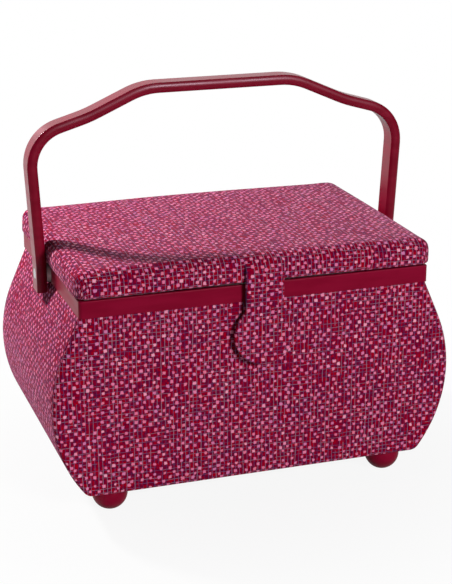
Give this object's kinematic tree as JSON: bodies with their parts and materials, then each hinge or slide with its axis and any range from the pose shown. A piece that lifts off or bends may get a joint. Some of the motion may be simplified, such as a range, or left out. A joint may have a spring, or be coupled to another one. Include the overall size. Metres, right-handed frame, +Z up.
{
  "type": "sewing box",
  "caption": "Cloth-covered sewing box with bulging sides, padded hinged lid, closing flap, bail handle, inner tray and ball feet.",
  "frame": {"origin": "on the floor, under the middle of the box", "axes": "+X to the right along the long side, +Y to the back, +Z up"},
  "size_m": [0.3466, 0.2241, 0.339],
  "materials": {
    "printed_cloth": "woven cotton with a small check print",
    "satin": "plain red satin",
    "board": "grey-brown bookbinding board",
    "wadding": "white polyester wadding",
    "red_plastic": "satin crimson moulding",
    "washer_plastic": "pale grey nylon",
    "steel": "plated steel",
    "tray_plastic": "pale grey moulding"
  },
  "bodies": {
    "carcass": {"front_cover": "printed_cloth", "back_cover": "printed_cloth", "left_cover": "printed_cloth", "right_cover": "printed_cloth", "base_cover": "printed_cloth", "lining": "satin", "bottom_board": "board", "front_board": "board", "back_board": "board", "left_side_board": "board", "right_side_board": "board", "rim": "red_plastic", "foot_front_left": "red_plastic", "foot_front_right": "red_plastic", "foot_back_left": "red_plastic", "foot_back_right": "red_plastic", "left_washer": "washer_plastic", "right_washer": "washer_plastic", "pivot_screws": "steel", "pivot_nuts": "steel", "left_hinge_rim_leaf": "steel", "right_hinge_rim_leaf": "steel", "hinge_pins": "steel", "hinge_rivets": "steel", "foot_screws": "steel", "keeper_plate": "steel"},
    "lid": {"lid_board": "board", "lid_padding": "wadding", "lid_cover": "printed_cloth", "lid_lining": "satin", "left_hinge_lid_leaf": "steel", "right_hinge_lid_leaf": "steel", "lid_screws": "steel", "flap_root": "printed_cloth"},
    "flap": {"flap_board": "board", "flap_cover": "printed_cloth", "flap_magnet": "steel"},
    "handle": {"handle": "red_plastic"},
    "tray": {"tray": "tray_plastic"}
  },
  "joints": [
    {"name": "lid_hinge", "type": "hinge", "parent": "carcass", "child": "lid", "pos_m": [0, 0.1086, 0.1908], "axis": [-1, 0, 0], "range_deg": [0, 33]},
    {"name": "flap_fold", "type": "hinge", "parent": "lid", "child": "flap", "pos_m": [0.0026, -0.1108, 0.1941], "axis": [-1, 0, 0], "range_deg": [0, 95]},
    {"name": "handle_swing", "type": "hinge", "parent": "carcass", "child": "handle", "pos_m": [0, 0, 0.1827], "axis": [1, 0, 0], "range_deg": [-96, 96]},
    {"name": "tray_slide", "type": "slide", "parent": "carcass", "child": "tray", "axis": [0, -1, 0], "range_m": [0, 0.08]}
  ]
}
